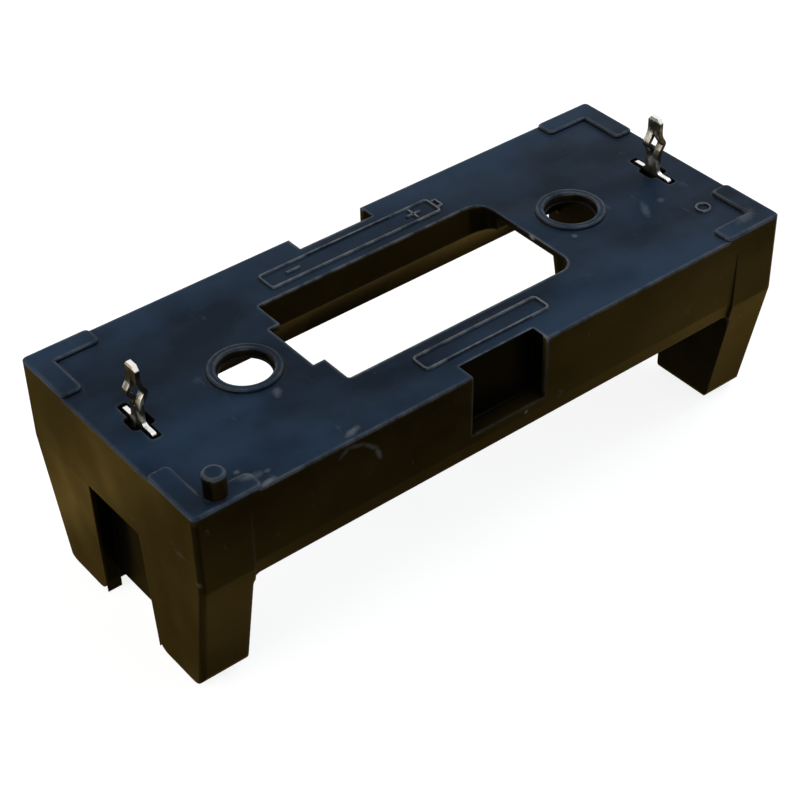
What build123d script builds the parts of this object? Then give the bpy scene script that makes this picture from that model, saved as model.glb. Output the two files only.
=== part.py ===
from build123d import *
import os

os.makedirs("parts", exist_ok=True)

# Cell the holder is made for, and the room left around it
cell_d = 17.0
cell_clear = 0.1
cradle_r = cell_d / 2 + cell_clear

# Housing, outer sizes. Zero height is the plane of the four horn tips
length = 49.3
width = 20.0
height = 15.85
half_l = length / 2
half_w = width / 2
straight_depth = 6.0
bend_z = height - straight_depth
side_draft = 1.9
end_draft = 0.25
corner_r = 0.4
tip_r = 1.2
inner_tip_r = 0.8
face_r = 0.12

# Cradle, rails and the way between the horns
cradle_floor = 0.81
axis_z = height - cradle_floor - cradle_r
rail_depth = 6.9
rail_band_depth = 5.65
rail_draft_start = 1.0
rail_draft = 0.13
rail_band_draft = 0.25
rail_end = 0.15
horn_t = 3.85
horn_inner_x = half_l - horn_t
horn_root_r = 0.7
channel_half_w = 3.1
channel_floor = 0.5

# Window in the board side and the small relief at its one end
window_x0 = -9.5
window_x1 = 9.86
window_half_w = 5.0
window_r = 1.3
window_r_small = 0.2
relief_half_w = 2.45
relief_x = -10.4

# Notches half way along both sides
notch_x0 = -3.4
notch_x1 = 2.9
notch_depth = 1.45
notch_height = 4.95

# End walls: outer skin with a slot, thin inner wall behind it
skin_t = 1.35
inner_wall_t = 0.65
slot_top_depth = 5.9
slot_half_top = 2.95
slot_half_tip = 3.2
slot_tip_r = 1.0
inner_wall_depth = 14.3
tip_relief_half_w = 3.9
end_floor = 1.2

# Board face: pads, rings, screw holes, locating peg
raised = 0.25
pad_w = 1.65
pad_len_x = 5.05
pad_len_y = 5.2
pad_end_r = 0.45
hole_x = 14.0
ring_r = 2.5
hole_r = 1.9
through_r = 1.78
step_depth = 0.4
edge_break = 0.1
peg_x = 2.35 - half_l
peg_y = 1.1 - half_w
peg_r = 0.75
peg_h = 2.0
peg_root_r = 0.87
peg_root_h = 0.32
peg_break = 0.1

# Contact sheet
sheet = 0.32
pin_x = half_l - 2.65
groove_clear = 0.05
plate_half_w = 4.2
groove_half_w = 4.3
shoulder_half_w = 1.8
shoulder_rise = 0.1
shoulder_r = 0.25
neck_r = 0.3
pin_w = 1.2
pin_top = 4.55
pin_point = 0.35
pin_point_w = 0.66
eye_z0 = 1.3
eye_z1 = 3.5
eye_bow = 0.42
slit = 0.08
fold_r = 0.85
fold_depth = 12.7
taper_start = 1.2
taper_end = 0.4
leaf_w = 4.8
leaf_reach = 4.65
leaf_knee_x = 2.8
leaf_knee_z = 2.2
leaf_back_x = 0.8
leaf_back_z = 3.0
leaf_end_x = 2.6
leaf_end_z = 5.6
dimple_r = 1.3
dimple_h = 0.4
slot_w = 0.75
slot_len = 4.2
slot_r = 0.2
slot_mid_w = 1.6
slot_mid_len = 1.5
slot_mid_r = 0.3

# Lengths for cuts only: far past the part, a little past a face, a small overlap
far = 60.0
past = 1.0
lap = 0.1


def box(x0, x1, y0, y1, z0, z1):
    """Box between two opposite corners."""
    centre = Pos((x0 + x1) / 2, (y0 + y1) / 2, (z0 + z1) / 2)
    return centre * Box(abs(x1 - x0), abs(y1 - y0), abs(z1 - z0))


def run_x(face, x0, x1):
    """Face drawn in Y and Z, run along X between two values."""
    plane = Plane(origin=(x0, 0, 0), x_dir=(0, 1, 0), z_dir=(1, 0, 0))
    return extrude(plane * face, x1 - x0, dir=(1, 0, 0))


def run_y(face, y0, y1):
    """Face drawn in X and Z, run along Y between two values."""
    plane = Plane(origin=(0, y0, 0), x_dir=(1, 0, 0), z_dir=(0, -1, 0))
    return extrude(plane * face, y1 - y0, dir=(0, 1, 0))


def outline(*points):
    """Face with straight sides between the given points."""
    return Polygon(*points, align=None)


def both_ends(shape):
    """The shape and its mirror image at the other end."""
    return shape + mirror(shape, Plane.YZ)


def both_sides(shape):
    """The shape and its mirror image on the other side."""
    return shape + mirror(shape, Plane.XZ)


def upright(half, draft):
    """Upright outline of the block, drafted below the bend."""
    tip = half - draft
    return outline(
        (-half, height),
        (-half, bend_z),
        (-tip, 0),
        (tip, 0),
        (half, bend_z),
        (half, height),
    )


def outer_block():
    """Outer form of the housing with rounded corners and horn tips."""
    side = upright(half_w, side_draft)
    end = upright(half_l, end_draft)
    block = run_x(side, -far, far) & run_y(end, -far, far)
    corners = [e for e in block.edges() if abs(e.tangent_at(0.5).Z) > 0.9]
    block = fillet(corners, corner_r)
    tips = side.vertices().group_by(Axis.Y)[0]
    outside = Rectangle(far, 2 * tip_r) - fillet(tips, tip_r)
    block -= run_x(outside, -far, far)
    return fillet(block.faces().sort_by(Axis.Z)[-1].edges(), face_r)


def rail_trim():
    """Draft and lower band of one rail, between the two end blocks."""
    band_y = half_w - rail_draft - rail_band_draft
    face = outline(
        (half_w, height - rail_draft_start),
        (half_w - rail_draft, height - rail_band_depth),
        (band_y, height - rail_depth),
        (band_y, height - rail_depth - past),
        (half_w + past, height - rail_depth - past),
        (half_w + past, height - rail_draft_start),
    )
    x_end = horn_inner_x - rail_end
    return both_sides(run_x(face, -x_end, x_end))


def tip_flare(edge, r):
    """Corner cut that leaves a round of radius r on a tip edge."""
    square = Pos(edge + r / 2, r / 2) * Rectangle(r, r)
    return square - Pos(edge + r, r) * Circle(r)


def horn_gap():
    """Room between the horns, below the rails, with rounded roots."""
    top = height - rail_depth
    depth = top + past
    face = Pos(0, top - depth / 2) * Rectangle(2 * horn_inner_x, depth)
    roots = face.vertices().group_by(Axis.Y)[-1]
    gap = run_y(fillet(roots, horn_root_r), -far, far)
    return gap + both_ends(run_y(tip_flare(horn_inner_x, inner_tip_r), -far, far))


def window():
    """Window through the board side, with its relief toward minus X."""
    mid_x = (window_x0 + window_x1) / 2
    face = Pos(mid_x, 0) * Rectangle(window_x1 - window_x0, 2 * window_half_w)
    groups = face.vertices().group_by(Axis.X)
    face = fillet(groups[-1], window_r)
    face = fillet(face.vertices().group_by(Axis.X)[0], window_r_small)
    hole = Pos(0, 0, axis_z) * extrude(face, far)
    relief = box(relief_x, window_x0 + past, -relief_half_w, relief_half_w, axis_z, far)
    return hole + relief


def end_cuts():
    """Channel, grooves, slot and relief of the end at plus X."""
    wall_x = half_l - skin_t
    inner_x = wall_x - inner_wall_t
    floor_z = height - end_floor
    back_x = pin_x + sheet / 2
    front_x = pin_x - sheet / 2 - groove_clear
    low = -past
    start_x = horn_inner_x - past
    cuts = box(start_x, inner_x, -channel_half_w, channel_half_w, low, floor_z)
    cuts += box(front_x, back_x, -groove_half_w, groove_half_w, low, floor_z)
    slot_z = height - slot_top_depth
    slot = outline(
        (-slot_half_top, slot_z),
        (-slot_half_tip, 0),
        (-slot_half_tip, low),
        (slot_half_tip, low),
        (slot_half_tip, 0),
        (slot_half_top, slot_z),
    )
    cuts += run_x(slot, wall_x, half_l + past)
    flare = tip_flare(slot_half_tip, slot_tip_r)
    cuts += both_sides(run_x(flare, wall_x, half_l + past))
    cuts += box(
        inner_x - lap,
        wall_x,
        -tip_relief_half_w,
        tip_relief_half_w,
        low,
        height - inner_wall_depth,
    )
    return cuts


def pin_slot():
    """Cross shaped slot in the end floor at plus X for the pin."""
    z0 = height - end_floor - lap
    long_face = RectangleRounded(slot_w, slot_len, slot_r)
    mid_face = RectangleRounded(slot_mid_w, slot_mid_len, slot_mid_r)
    shape = extrude(long_face + mid_face, far)
    return Pos(pin_x, 0, z0) * shape


def pad():
    """Angle shaped standoff pad, flush with the corner at plus X, plus Y."""
    xi = half_l - pad_w
    yi = half_w - pad_w
    xe = half_l - pad_len_x
    ye = half_w - pad_len_y
    face = outline(
        (half_l, half_w),
        (xe, half_w),
        (xe, yi),
        (xi, yi),
        (xi, ye),
        (half_l, ye),
    )
    ends = [v for v in face.vertices() if abs(v.X - xe) < 0.01 or abs(v.Y - ye) < 0.01]
    face = fillet(ends, pad_end_r)
    outer = [v for v in face.vertices() if v.X + v.Y > half_l + half_w - 0.01]
    face = fillet(outer, corner_r)
    solid = Pos(0, 0, height - face_r) * extrude(face, raised + face_r)
    return chamfer(solid.faces().sort_by(Axis.Z)[-1].edges(), edge_break)


def ring():
    """Raised ring around a screw hole."""
    h = raised + lap
    solid = Pos(0, 0, height - lap + h / 2) * Cylinder(ring_r, h)
    return chamfer(solid.edges().group_by(Axis.Z)[-1], edge_break)


def screw_hole():
    """Stepped hole, wider at the board face."""
    top = height + raised
    wide = Pos(0, 0, top) * Cylinder(hole_r, 2 * (step_depth + raised))
    narrow = Pos(0, 0, (axis_z + top) / 2) * Cylinder(through_r, top - axis_z)
    lip = Pos(0, 0, top - edge_break / 2) * Cone(hole_r, hole_r + edge_break, edge_break)
    return wide + narrow + lip


def locating_peg():
    """Round peg with a flared root and a broken top edge."""
    profile = outline(
        (0, -face_r),
        (peg_root_r, -face_r),
        (peg_root_r, 0),
        (peg_r, peg_root_h),
        (peg_r, peg_h - peg_break),
        (peg_r - peg_break, peg_h),
        (0, peg_h),
    )
    return revolve(Plane.XZ * profile, Axis.Z)


def make_housing():
    """Moulded body in one piece."""
    body = outer_block()
    body -= horn_gap()
    body -= rail_trim()
    cradle = Pos(0, 0, axis_z) * (Rot(0, 90, 0) * Cylinder(cradle_r, 2 * horn_inner_x))
    body -= cradle
    floor_z = height - channel_floor
    body -= box(
        -horn_inner_x, horn_inner_x, -channel_half_w, channel_half_w, axis_z, floor_z
    )
    body -= window()
    body -= both_ends(end_cuts())
    body -= both_ends(pin_slot())
    body -= both_sides(
        box(
            notch_x0,
            notch_x1,
            half_w - notch_depth,
            half_w + past,
            height - notch_height,
            height + past,
        )
    )
    body += both_sides(both_ends(pad()))
    body += both_ends(Pos(hole_x, 0, 0) * ring())
    body -= both_ends(Pos(hole_x, 0, 0) * screw_hole())
    body += Pos(peg_x, peg_y, height) * locating_peg()
    return body


def strip(path, steps, y0, y1):
    """Sheet bent along a path given in X and Z, between two Y values."""
    spots = [i / steps for i in range(steps + 1)]
    left = [path @ t + (path % t).rotate(Axis.Z, 90) * (sheet / 2) for t in spots]
    right = [path @ t - (path % t).rotate(Axis.Z, 90) * (sheet / 2) for t in spots]
    ends = [Line(left[0], right[0]), Line(left[-1], right[-1])]
    return run_y(make_face([Spline(*left), Spline(*right)] + ends), y0, y1)


def pin_half(side):
    """One bowed half of the lanced pin, on the given side of the slit."""
    path = Spline(
        (pin_x, height + eye_z0),
        (pin_x - side * eye_bow, height + (eye_z0 + eye_z1) / 2),
        (pin_x, height + eye_z1),
        tangents=((0, 1), (0, 1)),
    )
    low, high = sorted((side * slit / 2, side * pin_w / 2))
    return strip(path, 8, low, high)


def plate_face():
    """Flat blank of the plate, its shoulders and the neck of the pin."""
    floor_z = height - end_floor
    shoulder_z = height + shoulder_rise
    fold_z = height - fold_depth
    half = [
        (pin_w / 2, height + eye_z0),
        (pin_w / 2, shoulder_z),
        (shoulder_half_w, shoulder_z),
        (shoulder_half_w, floor_z),
        (plate_half_w, floor_z),
        (plate_half_w, fold_z + taper_start),
        (leaf_w / 2, fold_z + taper_end),
        (leaf_w / 2, fold_z),
    ]
    face = outline(*half, *[(-y, z) for y, z in reversed(half)])
    corners = [v for v in face.vertices() if abs(v.Y - shoulder_z) < 0.01]
    necks = [v for v in corners if abs(v.X) < shoulder_half_w - 0.01]
    face = fillet(necks, neck_r)
    corners = [v for v in face.vertices() if abs(abs(v.X) - shoulder_half_w) < 0.01]
    tops = [v for v in corners if abs(v.Y - shoulder_z) < 0.01]
    return fillet(tops, shoulder_r)


def point_face():
    """Flat blank of the pin above its eye, with a tapered point."""
    top = height + pin_top
    return outline(
        (-pin_w / 2, height + eye_z1),
        (-pin_w / 2, top - pin_point),
        (-pin_point_w / 2, top),
        (pin_point_w / 2, top),
        (pin_w / 2, top - pin_point),
        (pin_w / 2, height + eye_z1),
    )


def make_contact():
    """Contact at plus X: pin, shoulders, plate, fold and spring leaf."""
    back = pin_x + sheet / 2
    front = pin_x - sheet / 2
    plate = run_x(plate_face(), front, back)
    tip = run_x(point_face(), front, back)
    fold_z = height - fold_depth
    apex_x = pin_x - leaf_reach
    fold = CenterArc((pin_x - fold_r, fold_z), fold_r, 0, -180)
    spring = Spline(
        (pin_x - 2 * fold_r, fold_z),
        (pin_x - leaf_knee_x, fold_z + leaf_knee_z),
        (apex_x, axis_z),
        (apex_x + leaf_back_x, axis_z + leaf_back_z),
        (apex_x + leaf_end_x, axis_z + leaf_end_z),
        tangents=((0, 1), (0.25, 1)),
    )
    leaf = strip(Wire([fold, spring]), 24, -leaf_w / 2, leaf_w / 2)
    dome_r = (dimple_r**2 + dimple_h**2) / (2 * dimple_h)
    face_x = apex_x - sheet / 2
    ball = Pos(face_x - dimple_h + dome_r, 0, axis_z) * Sphere(dome_r)
    keep = Pos(face_x, 0, axis_z) * Box(2 * dimple_h, 2 * dimple_r, 2 * dimple_r)
    keep &= Pos(face_x - dimple_h, 0, axis_z) * Box(2 * dimple_h + sheet, far, far)
    return plate + [tip, pin_half(1), pin_half(-1), leaf, ball & keep]


housing = make_housing()
positive_contact = make_contact()
negative_contact = Rot(0, 0, 180) * positive_contact

export_step(housing, "parts/housing.step")
export_step(positive_contact, "parts/positive_contact.step")
export_step(negative_contact, "parts/negative_contact.step")
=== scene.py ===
import math
from functools import reduce

import bmesh
import bpy
from mathutils import Euler, Matrix, Vector


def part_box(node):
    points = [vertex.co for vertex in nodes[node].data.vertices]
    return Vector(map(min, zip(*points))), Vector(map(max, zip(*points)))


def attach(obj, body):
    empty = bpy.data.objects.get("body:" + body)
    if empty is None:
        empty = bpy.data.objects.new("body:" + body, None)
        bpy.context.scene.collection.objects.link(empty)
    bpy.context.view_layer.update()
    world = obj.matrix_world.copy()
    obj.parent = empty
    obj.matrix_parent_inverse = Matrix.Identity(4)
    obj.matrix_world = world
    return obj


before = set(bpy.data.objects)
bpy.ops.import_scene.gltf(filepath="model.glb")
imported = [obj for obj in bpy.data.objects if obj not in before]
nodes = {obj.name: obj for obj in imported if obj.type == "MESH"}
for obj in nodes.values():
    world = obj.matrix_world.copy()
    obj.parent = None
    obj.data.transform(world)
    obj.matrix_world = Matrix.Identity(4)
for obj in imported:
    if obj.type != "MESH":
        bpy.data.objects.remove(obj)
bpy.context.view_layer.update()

# Sizes in metres. X and Y are counted from the middle, and hold for both sides.
mm = 0.001
end_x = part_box("housing")[1][0]
side_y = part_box("housing")[1][1]
pin_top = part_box("positive_contact")[1][2]
face_z = pin_top - 4.55 * mm
lip_z = face_z - 0.7 * mm
raised_z = face_z + 0.15 * mm
raised_reach_z = 0.14 * mm
side_depth = 0.5 * mm
inner_x = end_x - 1.2 * mm
inner_y = side_y - 0.45 * mm
end_edge_x = end_x - 0.55 * mm
slot_x = end_x - 2.25 * mm
slot_reach_x = 1.9 * mm
slot_reach_y = 4.2 * mm
notch_y = side_y - 2.0 * mm
notch_reach_y = 1.5 * mm
notch_reach_x = 3.6 * mm
pin_low_z = face_z - 0.8 * mm
pin_tip_z = pin_top - 0.3 * mm

# Wear, painted highlight and painted shade of the plastic: how far edges, creases and hollows
# reach, in metres, how much of the pale edges the sides and ends leave out, how far they turn to
# grey, and the roughness they add. The pale edges are part wear, part painted highlight; creases
# and hollows get painted shade.
edge_reach = 0.4 * mm
edge_round = 0.2 * mm
crease_reach = 0.5 * mm
hollow_reach = 4 * mm
side_quiet = 0.8
end_quiet = 0.6
wear_and_highlight_share = 0.72
wear_and_highlight_rough = 0.15

# Colours of the plastic: board face tinted with painted cool light, walls with painted warm
# light, painted shade for unlit places, and rubbed places that are part wear and part painted
# highlight
face_dark = (0.0032, 0.0103, 0.0215)
face_pale = (0.0165, 0.0355, 0.0680)
wall_dark = (0.0074, 0.0049, 0.0008)
wall_pale = (0.0222, 0.0152, 0.0032)
inside_shade_black = (0.0008, 0.0008, 0.0006)
hollow_shade_black = (0.0006, 0.0006, 0.0005)
crease_shade_black = (0.001, 0.001, 0.001)
corner_shade_black = (0.002, 0.0014, 0.0006)
rubbed_and_highlight_grey = (0.210, 0.220, 0.235)

# Colours of the nickel: rolled sheet of the pins dark with painted shade and painted glints,
# sheared edges and upward faces bright with painted highlight, and spring leaves
shaded_rolled_dark = (0.024, 0.022, 0.018)
shaded_rolled_middle = (0.070, 0.067, 0.056)
glint_rolled_pale = (0.40, 0.40, 0.38)
highlight_sheared_dark = (0.80, 0.79, 0.77)
highlight_sheared_pale = (0.94, 0.93, 0.91)
leaf_dark = (0.36, 0.355, 0.34)
leaf_pale = (0.62, 0.61, 0.58)

# Rub marks and painted glints on the board face: x, y, depth, long and short reach in
# millimetres,
# turn in degrees about Z, strength
face_scuffs_and_glints = [
    (-13.8, -3.2, 0.0, 1.0, 0.6, 60, 0.4),
    (-12.5, -9.3, 0.0, 1.2, 0.5, 15, 0.55),
    (-19.6, -8.8, -0.25, 1.7, 0.7, 0, 0.6),
    (-20.1, -7.85, 0.0, 0.4, 0.35, 0, 0.5),
    (-18.6, -8.9, 0.0, 0.45, 0.35, 0, 0.4),
    (-19.1, -9.75, 0.0, 1.1, 0.4, 10, 0.9),
    (18.1, -3.3, 0.0, 1.8, 0.6, 55, 0.3),
    (19.8, -3.1, 0.0, 0.6, 0.5, 20, 0.3),
    (12.1, -2.5, 0.0, 0.4, 0.4, 0, 0.5),
    (22.6, -8.6, -0.25, 2.0, 1.0, 20, 0.35),
    (9.4, 2.2, 0.1, 0.4, 0.4, 0, 0.9),
    (9.8, -0.6, 0.1, 0.6, 0.4, 90, 1.0),
]

# Rub marks on the near side, in the same order, with the turn about Y.
# The first four are one curved scratch.
side_scuffs = [
    (-13.6, -9.95, 0.60, 1.10, 0.35, -32, 0.22),
    (-12.7, -9.95, 0.58, 1.60, 0.35, 16, 0.22),
    (-11.65, -9.95, 1.18, 1.50, 0.35, 43, 0.28),
    (-11.05, -9.95, 2.08, 1.20, 0.40, 73, 0.38),
    (1.3, -9.9, 5.4, 0.3, 0.3, 0, 0.6),
]

# Raised relief on the board face, in millimetres
line_width = 0.24
line_rise = 0.13
line_foot = -0.03
shoulder_share = 0.62
cell_box = (-7.6, 7.0, 5.95, 7.65)
cell_corner = 0.25
nub_length = 0.38
nub_half = 0.4
plus_x = 5.2
minus_x = -5.3
sign_half = 0.6
frame_box = (-5.2, 5.2, -7.55, -6.05)
frame_corner = 0.3
ring_box = (20.85, 21.85, -6.26, -5.26)
ring_r = 0.5
ring_width = 0.2
ring_rise = 0.12

# Stage: places and sizes in metres, colours, and the strength of the mat's glow. The mat is a
# glowing card that only the object's reflections see: a painted warm reflection, dimmed under
# the part as painted shadow.
floor_half = 1.2
floor_z = -0.2 * mm
floor_dull = (0.3, 0.29, 0.27)
white_light = (1.0, 1.0, 1.0)
fill_light = (0.9, 0.95, 1.0)
mat_half = 160 * mm
mat_end_x = 55 * mm
mat_fade_y = 30 * mm
mat_z = -0.1 * mm
reflection_mat_dark = (0.42, 0.27, 0.06)
reflection_mat_pale = (0.62, 0.41, 0.11)
reflection_mat_strength = 8.0
lamp_aim = Vector((0, 0, 8 * mm))

# Camera fitted to the photograph, with its turn in degrees about X, Y and Z
camera_place = Vector((-64.869 * mm, -82.536 * mm, face_z + 76.071 * mm))
camera_turn = (50.6815, 1.2105, -38.4496)
camera_lens = 86.65


# Helpers for node trees

def empty_tree(owner, output_kind):
    """Node tree of a material or world with nothing but its output."""
    owner.use_nodes = True
    tree = owner.node_tree
    tree.nodes.clear()
    return tree, tree.nodes.new(output_kind).inputs[0]


def new_material(name):
    """New material with nothing but its output and shader."""
    mat = bpy.data.materials.new(name)
    tree, surface = empty_tree(mat, "ShaderNodeOutputMaterial")
    shader = tree.nodes.new("ShaderNodeBsdfPrincipled")
    tree.links.new(shader.outputs[0], surface)
    return mat, tree, shader


def feed(tree, socket, value):
    """Link a source to a socket, or set a number, vector or colour on it."""
    if isinstance(value, bpy.types.NodeSocket):
        tree.links.new(value, socket)
    elif socket.type == "RGBA":
        socket.default_value = (*value, 1.0)
    else:
        socket.default_value = value


def add(tree, kind, **inputs):
    """Node of a kind, with its sockets fed by name."""
    node = tree.nodes.new(kind)
    for name, value in inputs.items():
        feed(tree, node.inputs[name.replace("_", " ")], value)
    return node


def calc(tree, operation, *values):
    """Math node of up to three sources or numbers."""
    node = tree.nodes.new("ShaderNodeMath")
    node.operation = operation
    for socket, value in zip(node.inputs, values):
        feed(tree, socket, value)
    return node.outputs[0]


def product(tree, *values):
    """All sources and numbers multiplied."""
    return reduce(lambda a, b: calc(tree, "MULTIPLY", a, b), values)


def total(tree, *values):
    """All sources and numbers added."""
    return reduce(lambda a, b: calc(tree, "ADD", a, b), values)


def most(tree, *values):
    """Greatest of the sources and numbers."""
    return reduce(lambda a, b: calc(tree, "MAXIMUM", a, b), values)


def above(tree, value, limit):
    """1 where a source is greater than a limit, else 0."""
    return calc(tree, "GREATER_THAN", value, limit)


def below(tree, value, limit):
    """1 where a source is less than a limit, else 0."""
    return calc(tree, "LESS_THAN", value, limit)


def near(tree, value, middle, reach):
    """1 where a source is within a reach of a middle value, else 0."""
    return calc(tree, "COMPARE", value, middle, reach)


def rest(tree, mask):
    """What a mask leaves over, up to 1."""
    return calc(tree, "SUBTRACT", 1.0, mask)


def ramp(tree, source, *stops):
    """Colour ramp on a value. A stop is a place and a grey or colour."""
    node = add(tree, "ShaderNodeValToRGB", Fac=source)
    band = node.color_ramp
    while len(band.elements) < len(stops):
        band.elements.new(0.5)
    for element, (place, value) in zip(band.elements, stops):
        element.position = place
        colour = value if isinstance(value, tuple) else (value, value, value)
        element.color = (*colour, 1.0)
    return node.outputs[0]


def mix(tree, share, first, second):
    """Mix of two colours or sources, all second where the share is 1."""
    node = tree.nodes.new("ShaderNodeMix")
    node.data_type = "RGBA"
    feed(tree, node.inputs[0], share)
    feed(tree, node.inputs[6], first)
    feed(tree, node.inputs[7], second)
    return node.outputs[2]


def coordinate(tree, kind):
    """Texture coordinate of a kind, such as Object or Normal."""
    return tree.nodes.new("ShaderNodeTexCoord").outputs[kind]


def parts(tree, kind):
    """Size of X, size of Y, and Z, of the object's own position or normal."""
    split = add(tree, "ShaderNodeSeparateXYZ", Vector=coordinate(tree, kind))
    x = calc(tree, "ABSOLUTE", split.outputs["X"])
    y = calc(tree, "ABSOLUTE", split.outputs["Y"])
    return x, y, split.outputs["Z"]


def noise(tree, scale, detail=3.0, rough=0.5, stretch=(1, 1, 1)):
    """Noise in object space, with its scale counted per metre."""
    stretched = add(tree, "ShaderNodeMapping", Vector=coordinate(tree, "Object"), Scale=stretch)
    cloud = add(
        tree,
        "ShaderNodeTexNoise",
        Vector=stretched.outputs[0],
        Scale=scale,
        Detail=detail,
        Roughness=rough,
    )
    return cloud.outputs["Fac"]


def openness(tree, reach):
    """How open the space over a point is within a reach, from 0 to 1."""
    node = add(tree, "ShaderNodeAmbientOcclusion", Distance=reach)
    node.samples = 8
    node.only_local = True
    return node.outputs["AO"]


def soft_normal(tree, radius, samples):
    """Normal with the edges rounded to a radius."""
    node = add(tree, "ShaderNodeBevel", Radius=radius)
    node.samples = samples
    return node.outputs[0]


def edge_mask(tree, radius):
    """1 along edges within a radius, 0 on flats."""
    dot = tree.nodes.new("ShaderNodeVectorMath")
    dot.operation = "DOT_PRODUCT"
    feed(tree, dot.inputs[0], soft_normal(tree, radius, samples=6))
    feed(tree, dot.inputs[1], tree.nodes.new("ShaderNodeNewGeometry").outputs["Normal"])
    return ramp(tree, dot.outputs["Value"], (0.90, 1.0), (0.995, 0.0))


# Masks and colours of the plastic

def scuff_mask(tree, scuffs, axis):
    """Long uneven marks, each up to its strength and turned about the axis."""
    ragged = 0.7
    warp = product(tree, noise(tree, scale=2600, detail=4.0, rough=0.7), ragged)
    marks = []
    for x, y, depth, long, short, turn, strength in scuffs:
        local = add(
            tree,
            "ShaderNodeMapping",
            Vector=coordinate(tree, "Object"),
            Location=(x * mm, y * mm, face_z - depth * mm),
            Rotation=math.radians(turn) * axis,
            Scale=(long * mm, short * mm, short * mm),
        )
        local.vector_type = "TEXTURE"
        away = tree.nodes.new("ShaderNodeVectorMath")
        away.operation = "LENGTH"
        feed(tree, away.inputs[0], local.outputs[0])
        reach = total(tree, away.outputs["Value"], warp)
        marks.append(ramp(tree, reach, (0.55, strength), (1.0, 0.0)))
    return most(tree, *marks)


def moulding_patches(tree):
    """Uneven tone of the moulded skin: broad flow with finer clouds on it."""
    flow = noise(tree, scale=75, rough=0.55, stretch=(0.6, 1.4, 1.0))
    cloud_share = 0.4
    clouds = product(tree, noise(tree, scale=260, detail=4.0, rough=0.6), cloud_share)
    return total(tree, clouds, -cloud_share / 2, flow)


def face_colour(tree, y, patches):
    """Bluish black of the board face, paler toward its long sides: the blue is painted cool
    light, the paler sides a painted sheen.
    """
    rim_sheen_gain = 0.24
    rim_sheen_start = -0.11
    rim_sheen = product(tree, y, rim_sheen_gain / side_y)
    tone = total(tree, rim_sheen, rim_sheen_start, patches)
    return ramp(tree, tone, (0.36, face_dark), (0.64, face_pale))


def wall_colour(tree, patches):
    """Brownish black of the walls, the brown being painted warm light."""
    return ramp(tree, patches, (0.32, wall_dark), (0.68, wall_pale))


def top_mask(tree, z, normal_z):
    """Board face with its pads, rings and relief."""
    faces_up = ramp(tree, normal_z, (0.3, 0.0), (0.8, 1.0))
    top = product(tree, above(tree, z, lip_z), faces_up)
    raised = near(tree, z, raised_z, raised_reach_z)
    return most(tree, top, raised)


def slot_mask(tree, x, y):
    """Upright block around each pin slot and contact."""
    along = near(tree, x, slot_x, slot_reach_x)
    across = below(tree, y, slot_reach_y)
    return product(tree, along, across)


def inside_mask(tree, place, normal, slot):
    """Places darkened with painted shade: inner end faces, side notches and pin slots."""
    x, y, z = place
    normal_x, _, normal_z = normal
    end_face = product(
        tree,
        below(tree, x, inner_x),
        below(tree, y, inner_y),
        ramp(tree, normal_x, (0.6, 0.0), (0.8, 0.9)),
    )
    notch = product(
        tree,
        near(tree, y, notch_y, notch_reach_y),
        below(tree, x, notch_reach_x),
        ramp(tree, normal_z, (0.2, 1.0), (0.5, 0.0)),
    )
    deep_slot = product(tree, slot, below(tree, z, lip_z))
    return most(tree, end_face, notch, deep_slot)


def side_mask(tree, z):
    """Everything from side_depth below the board face down, with a soft start."""
    depth = calc(tree, "SUBTRACT", face_z, z)
    share = product(tree, depth, 1 / side_depth)
    return ramp(tree, share, (0.2, 0.0), (1.0, 1.0))


def edge_wear_and_highlight(tree, x, slot, side, crease):
    """Edges made pale, part wear and part painted highlight: less on the sides, slots and ends,
    none in creases.
    """
    open_edge = ramp(tree, crease, (0.8, 0.0), (0.97, 1.0))
    end = above(tree, x, end_edge_x)
    quiet = most(
        tree,
        product(tree, most(tree, side, slot), side_quiet),
        product(tree, end, end_quiet),
        product(tree, end, side),
    )
    return product(tree, edge_mask(tree, edge_reach), open_edge, rest(tree, quiet))


def wear_and_highlight_mask(tree, edge, lit, inside):
    """Pale places, part wear and part painted highlight: patchy edges, faint rubs all over,
    single scuffs, some of them painted glints.
    """
    rubs = noise(tree, scale=900, detail=5.0, rough=0.62, stretch=(1.0, 0.3, 0.6))
    patchy = product(tree, edge, ramp(tree, rubs, (0.38, 0.25), (0.6, 1.0)))
    faint = ramp(tree, rubs, (0.66, 0.0), (0.8, 0.3))
    rubbed_and_highlit = product(tree, most(tree, patchy, faint), lit, rest(tree, inside))
    on_face = scuff_mask(tree, face_scuffs_and_glints, Vector((0, 0, 1)))
    on_side = scuff_mask(tree, side_scuffs, Vector((0, 1, 0)))
    return most(tree, rubbed_and_highlit, on_face, on_side)


def plastic_normal(tree):
    """Soft edges, the fine grain of the mould and slow sink waves."""
    grain = add(
        tree,
        "ShaderNodeBump",
        Strength=0.3,
        Distance=0.02 * mm,
        Height=noise(tree, scale=6000, detail=2.0),
        Normal=soft_normal(tree, edge_round, samples=6),
    )
    waves = add(
        tree,
        "ShaderNodeBump",
        Strength=0.6,
        Distance=0.6 * mm,
        Height=noise(tree, scale=150, detail=1.0, rough=0.4, stretch=(0.7, 1.3, 1.0)),
        Normal=grain.outputs[0],
    )
    return waves.outputs[0]


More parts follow.
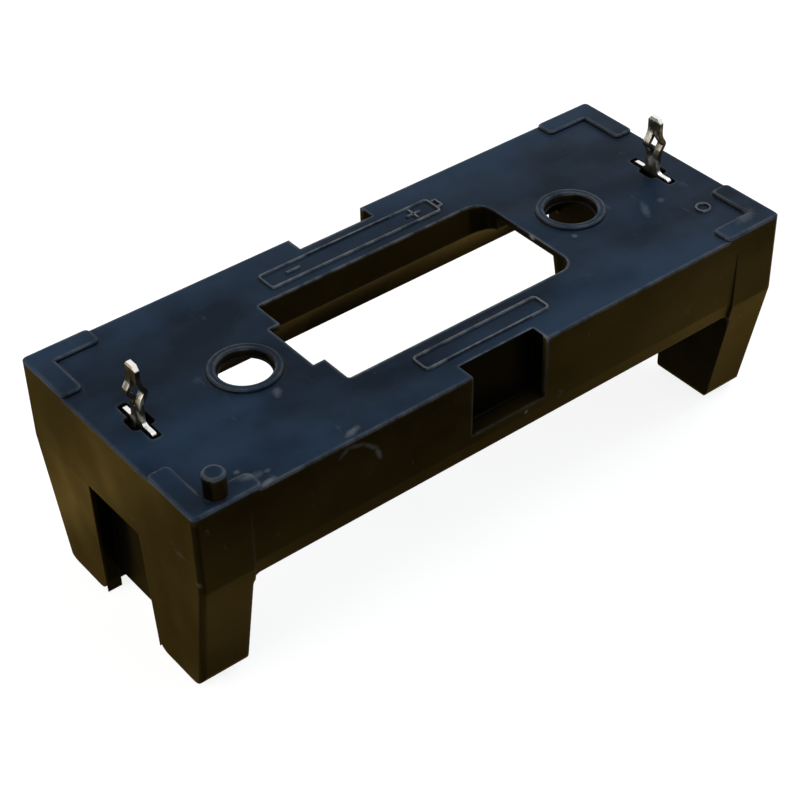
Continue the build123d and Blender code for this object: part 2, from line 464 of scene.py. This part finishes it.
def plastic(name, all_edge):
    """Black moulded plastic. With all_edge, the whole piece turns pale as an edge does, with
    wear and painted highlight.
    """
    mat, tree, shader = new_material(name)
    place = parts(tree, "Object")
    normal = parts(tree, "Normal")
    x, y, z = place
    normal_x, normal_y, normal_z = normal
    patches = moulding_patches(tree)
    slot = slot_mask(tree, x, y)
    inside = inside_mask(tree, place, normal, slot)
    side = side_mask(tree, z)
    lit = ramp(tree, openness(tree, hollow_reach), (0.15, 0.1), (0.6, 1.0))
    crease = openness(tree, crease_reach)

    wall = wall_colour(tree, patches)
    face = face_colour(tree, y, patches)
    # Painted light: the board face takes the cool bluish colour and the walls the warm brown
    # one, as lit copies of one black plastic.
    base = mix(tree, top_mask(tree, z, normal_z), wall, face)
    # Painted shade in the inner end faces, side notches and pin slots.
    base = mix(tree, inside, base, inside_shade_black)
    # Painted shade in hollows, darker where less space is open over a point.
    base = mix(tree, lit, hollow_shade_black, base)
    # Painted shade in creases, where faces meet.
    base = mix(tree, ramp(tree, crease, (0.5, 0.3), (0.9, 1.0)), crease_shade_black, base)
    # Painted shade on the rounded upright corners of the walls.
    turned = product(tree, normal_x, normal_y)
    round_corner_shade = product(tree, ramp(tree, turned, (0.06, 0.0), (0.3, 0.85)), side)
    base = mix(tree, round_corner_shade, base, corner_shade_black)

    edge = 1.0 if all_edge else edge_wear_and_highlight(tree, x, slot, side, crease)
    wear_and_highlight = wear_and_highlight_mask(tree, edge, lit, inside)
    # Pale grey where worn, part rubbing and part painted highlight on edges and relief.
    colour = mix(tree, product(tree, wear_and_highlight, wear_and_highlight_share), base, rubbed_and_highlight_grey)
    smooth = ramp(tree, patches, (0.3, 0.24), (0.7, 0.48))
    rough = total(tree, smooth, product(tree, wear_and_highlight, wear_and_highlight_rough))
    feed(tree, shader.inputs["Base Color"], colour)
    feed(tree, shader.inputs["Roughness"], rough)
    feed(tree, shader.inputs["Normal"], plastic_normal(tree))
    shader.inputs["Specular IOR Level"].default_value = 0.05
    return mat


# Nickel of the contacts

def nickel_colour(tree):
    """Rolled sides of the pins dark as painted shade with painted glints, sheared edges and
    upward faces bright as painted highlight, mid grey leaves.
    """
    _, _, z = parts(tree, "Object")
    _, _, normal_z = parts(tree, "Normal")
    tarnish_and_glints = noise(tree, scale=900)
    shaded_rolled = ramp(tree, tarnish_and_glints, (0.40, shaded_rolled_dark), (0.56, shaded_rolled_middle), (0.66, glint_rolled_pale))
    highlight_sheared = mix(tree, tarnish_and_glints, highlight_sheared_dark, highlight_sheared_pale)
    leaf = mix(tree, tarnish_and_glints, leaf_dark, leaf_pale)
    outer = above(tree, z, pin_low_z)
    # Pin sides that face away from up get the painted shade, the rest the painted highlight.
    shaded_pin_side = product(
        tree,
        ramp(tree, normal_z, (0.4, 1.0), (0.75, 0.0)),
        below(tree, z, pin_tip_z),
        outer,
    )
    return mix(tree, shaded_pin_side, mix(tree, outer, leaf, highlight_sheared), shaded_rolled)


def nickel():
    """Nickel plated spring sheet with fine rolling lines."""
    mat, tree, shader = new_material("nickel")
    lines = noise(tree, scale=2500, rough=0.6, stretch=(1.0, 3.0, 0.12))
    bump = add(
        tree,
        "ShaderNodeBump",
        Strength=0.2,
        Distance=0.01 * mm,
        Height=lines,
        Normal=soft_normal(tree, 0.05 * mm, samples=4),
    )
    feed(tree, shader.inputs["Base Color"], nickel_colour(tree))
    feed(tree, shader.inputs["Roughness"], ramp(tree, lines, (0.3, 0.22), (0.7, 0.42)))
    feed(tree, shader.inputs["Normal"], bump.outputs[0])
    shader.inputs["Metallic"].default_value = 0.8
    return mat


def dress(obj, mat):
    """One material on every slot of an object."""
    obj.data.materials.clear()
    obj.data.materials.append(mat)


# Relief on the board face

def ridge_rows(bm, points, closed, width, rise):
    """Four vertices across the line at each point: foot, shoulder, shoulder, foot."""
    profile = (
        (1.0, line_foot),
        (shoulder_share, rise),
        (-shoulder_share, rise),
        (-1.0, line_foot),
    )
    count = len(points)
    rows = []
    for i, (x, y) in enumerate(points):
        before = points[(i - 1) % count] if closed or i else points[0]
        after = points[(i + 1) % count] if closed or i < count - 1 else points[-1]
        run = (Vector(after) - Vector(before)).normalized()
        side = Vector((-run.y, run.x)) * width / 2
        row = []
        for reach, z in profile:
            spot = Vector((x, y)) + side * reach
            row.append(bm.verts.new((spot.x * mm, spot.y * mm, face_z + z * mm)))
        rows.append(row)
    return rows


def ridge(name, lines, width, rise, mat):
    """Raised moulded lines on the board face, each its points and whether it is closed."""
    mesh = bpy.data.meshes.new(name)
    bm = bmesh.new()
    for points, closed in lines:
        rows = ridge_rows(bm, points, closed, width, rise)
        following = rows[1:] + rows[:1] if closed else rows[1:]
        for a, b in zip(rows, following):
            for k in range(4):
                bm.faces.new((a[k], a[(k + 1) % 4], b[(k + 1) % 4], b[k]))
        if not closed:
            bm.faces.new(rows[0])
            bm.faces.new(rows[-1][::-1])
    bmesh.ops.recalc_face_normals(bm, faces=bm.faces)
    bm.to_mesh(mesh)
    bm.free()
    obj = bpy.data.objects.new(name, mesh)
    bpy.context.collection.objects.link(obj)
    dress(obj, mat)
    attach(obj, "root")


def round_box(x0, x1, y0, y1, r):
    """Points of a closed outline with round corners, 15 degrees apart."""
    corners = (
        (x1 - r, y1 - r, 0),
        (x0 + r, y1 - r, 90),
        (x0 + r, y0 + r, 180),
        (x1 - r, y0 + r, 270),
    )
    points = []
    for x, y, start in corners:
        for step in range(7):
            turn = math.radians(start + step * 15)
            points.append((x + r * math.cos(turn), y + r * math.sin(turn)))
    return points


def cell_lines():
    """Outline of a cell lying along X, its nub, and its plus and minus signs."""
    _, x1, y0, y1 = cell_box
    mid_y = (y0 + y1) / 2
    nub_x = x1 + line_width / 2
    nub = [
        (nub_x, mid_y - nub_half),
        (nub_x + nub_length, mid_y - nub_half),
        (nub_x + nub_length, mid_y + nub_half),
        (nub_x, mid_y + nub_half),
    ]
    plus_across = [(plus_x - sign_half, mid_y), (plus_x + sign_half, mid_y)]
    plus_up = [(plus_x, mid_y - sign_half), (plus_x, mid_y + sign_half)]
    minus = [(minus_x - sign_half, mid_y), (minus_x + sign_half, mid_y)]
    open_lines = [(points, False) for points in (nub, plus_across, plus_up, minus)]
    return [(round_box(*cell_box, cell_corner), True), *open_lines]


# Stage

def flat_square(name, half, z):
    """Flat square of a half size, lying at a height."""
    mesh = bpy.data.meshes.new(name)
    bm = bmesh.new()
    bmesh.ops.create_grid(bm, x_segments=1, y_segments=1, size=half)
    bm.to_mesh(mesh)
    bm.free()
    obj = bpy.data.objects.new(name, mesh)
    obj.location.z = z
    bpy.context.collection.objects.link(obj)
    return obj


def seen_rays(tree):
    """1 for rays of the camera, of gloss and of transmission, else 0."""
    path = tree.nodes.new("ShaderNodeLightPath")
    kinds = ("Is Camera Ray", "Is Glossy Ray", "Is Transmission Ray")
    return most(tree, *(path.outputs[kind] for kind in kinds))


def choose(tree, share, first, second):
    """Mix of two shader nodes, all second where the share is 1."""
    node = tree.nodes.new("ShaderNodeMixShader")
    for socket, source in zip(node.inputs, (share, first.outputs[0], second.outputs[0])):
        tree.links.new(source, socket)
    return node.outputs[0]


def stage_floor():
    """Pale floor. Seen rays find it white but for the shadow, others a dull grey."""
    floor = flat_square("floor", floor_half, floor_z)
    mat = bpy.data.materials.new("pale_floor")
    tree, surface = empty_tree(mat, "ShaderNodeOutputMaterial")
    pale = ramp(tree, noise(tree, scale=60), (0.3, 0.36), (0.7, 0.40))
    dull = add(tree, "ShaderNodeBsdfDiffuse", Color=floor_dull)
    lit = add(tree, "ShaderNodeBsdfDiffuse", Color=pale)
    glow = add(tree, "ShaderNodeEmission", Color=white_light, Strength=0.84)
    white = tree.nodes.new("ShaderNodeAddShader")
    tree.links.new(lit.outputs[0], white.inputs[0])
    tree.links.new(glow.outputs[0], white.inputs[1])
    tree.links.new(choose(tree, seen_rays(tree), dull, white), surface)
    floor.data.materials.append(mat)


def painted_reflection_glow(tree):
    """Glow of the mat in bands, a painted reflection: strongest toward plus X and just beside
    the part, dim under it as painted shadow.
    """
    split = add(tree, "ShaderNodeSeparateXYZ", Vector=coordinate(tree, "Object"))
    along = ramp(
        tree,
        calc(tree, "DIVIDE", split.outputs["X"], mat_half),
        (0.46, 0.24),
        (0.54, 0.30),
        (0.58, 0.10),
        (0.73, 0.10),
        (0.8, 0.38),
        (0.88, 0.46),
    )
    across = ramp(
        tree,
        calc(tree, "DIVIDE", calc(tree, "ABSOLUTE", split.outputs["Y"]), mat_fade_y),
        (0.2, 0.2),
        (0.3, 0.3),
        (0.42, 0.8),
        (0.5, 0.8),
        (0.7, 0.25),
    )
    return product(tree, along, across, reflection_mat_strength)


def stage_reflection_mat():
    """Glowing brown mat, seen only in the object's own surfaces: a painted warm reflection."""
    card = flat_square("mat", mat_half, mat_z)
    card.location.x = mat_end_x - mat_half
    card.visible_camera = False
    card.visible_diffuse = False
    card.visible_shadow = False
    card.visible_transmission = False
    material, tree, shader = new_material("brown_reflection_mat")
    grain = noise(tree, scale=150)
    brown = ramp(tree, grain, (0.3, reflection_mat_dark), (0.7, reflection_mat_pale))
    feed(tree, shader.inputs["Emission Color"], brown)
    feed(tree, shader.inputs["Emission Strength"], painted_reflection_glow(tree))
    shader.inputs["Base Color"].default_value = (0.1, 0.07, 0.03, 1.0)
    shader.inputs["Specular IOR Level"].default_value = 0.0
    card.data.materials.append(material)


def stage_world():
    """White for seen rays, a plain grey fill as light."""
    world = bpy.data.worlds.new("studio")
    bpy.context.scene.world = world
    tree, surface = empty_tree(world, "ShaderNodeOutputWorld")
    fill = add(tree, "ShaderNodeBackground", Color=fill_light, Strength=0.45)
    white = add(tree, "ShaderNodeBackground", Color=white_light, Strength=1.0)
    tree.links.new(choose(tree, seen_rays(tree), fill, white), surface)


def lamp(name, place, size, power, colour):
    """Soft square lamp aimed at the middle of the object."""
    data = bpy.data.lights.new(name, "AREA")
    data.shape = "SQUARE"
    data.size = size
    data.energy = power
    data.color = colour
    obj = bpy.data.objects.new(name, data)
    obj.location = place
    aim = lamp_aim - Vector(place)
    obj.rotation_euler = aim.to_track_quat("-Z", "Y").to_euler()
    bpy.context.collection.objects.link(obj)


def stage_camera():
    """Camera at the photograph's place and angle."""
    data = bpy.data.cameras.new("camera")
    data.lens = camera_lens
    data.sensor_width = 36.0
    data.clip_start = 0.005
    data.clip_end = 20.0
    camera = bpy.data.objects.new("camera", data)
    turn = Euler([math.radians(angle) for angle in camera_turn])
    camera.matrix_world = Matrix.LocRotScale(camera_place, turn, None)
    bpy.context.collection.objects.link(camera)
    bpy.context.scene.camera = camera


black = plastic("black_plastic", all_edge=False)
# The relief is pale all over, part wear and part painted highlight.
relief_black_with_highlight = plastic("black_plastic_relief", all_edge=True)
bright = nickel()
dress(nodes["housing"], black)
dress(nodes["positive_contact"], bright)
dress(nodes["negative_contact"], bright)

frame_lines = [(round_box(*frame_box, frame_corner), True)]
ring_lines = [(round_box(*ring_box, ring_r), True)]
ridge("mark_cell", cell_lines(), line_width, line_rise, relief_black_with_highlight)
ridge("mark_frame", frame_lines, line_width, line_rise, relief_black_with_highlight)
ridge("mark_ring", ring_lines, ring_width, ring_rise, relief_black_with_highlight)

stage_floor()
stage_reflection_mat()
stage_world()
lamp("key", place=(0.70, 0.04, 0.50), size=0.50, power=3.0, colour=(0.86, 0.94, 1.0))
lamp("side", place=(-0.38, 0.08, 0.03), size=0.32, power=2.0, colour=(1.0, 0.90, 0.72))
stage_camera()
bpy.context.scene.view_settings.view_transform = "Standard"
